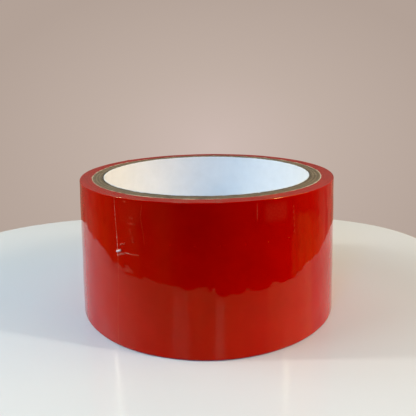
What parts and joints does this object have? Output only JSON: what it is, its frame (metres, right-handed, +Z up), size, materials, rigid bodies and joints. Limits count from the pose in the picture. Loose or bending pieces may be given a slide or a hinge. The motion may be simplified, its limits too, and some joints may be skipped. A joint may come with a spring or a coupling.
{
  "type": "duct tape roll",
  "caption": "Roll of glossy red plastic-film duct tape on a spiral-wound cardboard core, with a free tape end that peels off the outside.",
  "frame": {"origin": "centre of the lower face, on the roll's axis, where the roll stands on a table", "axes": "+Z up along the roll's axis; the free end of the tape is at the front left, and the viewer looks along +Y"},
  "size_m": [0.0937, 0.0937, 0.048],
  "materials": {
    "liner_paper": "smooth white coated paper with a satin sheen",
    "core_board": "raw grey-brown recycled board, matte and fibrous on the cut edge",
    "pale_board": "pale cream board, matte",
    "red_film": "smooth glossy saturated red plastic film, slightly wavy, matte on its cut edges"
  },
  "bodies": {
    "roll": {"core_liner": "liner_paper", "core_ply_1": "core_board", "core_ply_2": "core_board", "core_ply_3": "core_board", "core_ply_4": "core_board", "core_ply_5": "core_board", "core_ply_6": "core_board", "core_ply_7": "core_board", "core_outer_ply": "pale_board", "wound_tape": "red_film", "outer_lap": "red_film"},
    "tape_end_1": {"tape_end_1": "red_film"},
    "tape_end_2": {"tape_end_2": "red_film"},
    "tape_end_3": {"tape_end_3": "red_film"},
    "tape_end_4": {"tape_end_4": "red_film"},
    "tape_end_5": {"tape_end_5": "red_film"},
    "tape_end_6": {"tape_end_6": "red_film"},
    "tape_end_7": {"tape_end_7": "red_film"},
    "tape_end_8": {"tape_end_8": "red_film"},
    "tape_end_9": {"tape_end_9": "red_film"},
    "tape_end_10": {"tape_end_10": "red_film"}
  },
  "joints": [
    {"name": "peel_1", "type": "hinge", "parent": "roll", "child": "tape_end_1", "pos_m": [0.03792, -0.02755, 0.024], "axis": [0, 0, 1], "range_deg": [0, 30]},
    {"name": "peel_2", "type": "hinge", "parent": "tape_end_1", "child": "tape_end_2", "pos_m": [0.03314, -0.03314, 0.024], "axis": [0, 0, 1], "range_deg": [0, 30]},
    {"name": "peel_3", "type": "hinge", "parent": "tape_end_2", "child": "tape_end_3", "pos_m": [0.02755, -0.03792, 0.024], "axis": [0, 0, 1], "range_deg": [0, 30]},
    {"name": "peel_4", "type": "hinge", "parent": "tape_end_3", "child": "tape_end_4", "pos_m": [0.02128, -0.04177, 0.024], "axis": [0, 0, 1], "range_deg": [0, 30]},
    {"name": "peel_5", "type": "hinge", "parent": "tape_end_4", "child": "tape_end_5", "pos_m": [0.01449, -0.04459, 0.024], "axis": [0, 0, 1], "range_deg": [0, 30]},
    {"name": "peel_6", "type": "hinge", "parent": "tape_end_5", "child": "tape_end_6", "pos_m": [0.00733, -0.04631, 0.024], "axis": [0, 0, 1], "range_deg": [0, 30]},
    {"name": "peel_7", "type": "hinge", "parent": "tape_end_6", "child": "tape_end_7", "pos_m": [0, -0.04689, 0.024], "axis": [0, 0, 1], "range_deg": [0, 30]},
    {"name": "peel_8", "type": "hinge", "parent": "tape_end_7", "child": "tape_end_8", "pos_m": [-0.00734, -0.04631, 0.024], "axis": [0, 0, 1], "range_deg": [0, 30]},
    {"name": "peel_9", "type": "hinge", "parent": "tape_end_8", "child": "tape_end_9", "pos_m": [-0.01449, -0.0446, 0.024], "axis": [0, 0, 1], "range_deg": [0, 30]},
    {"name": "peel_10", "type": "hinge", "parent": "tape_end_9", "child": "tape_end_10", "pos_m": [-0.02129, -0.04179, 0.024], "axis": [0, 0, 1], "range_deg": [0, 30]}
  ]
}
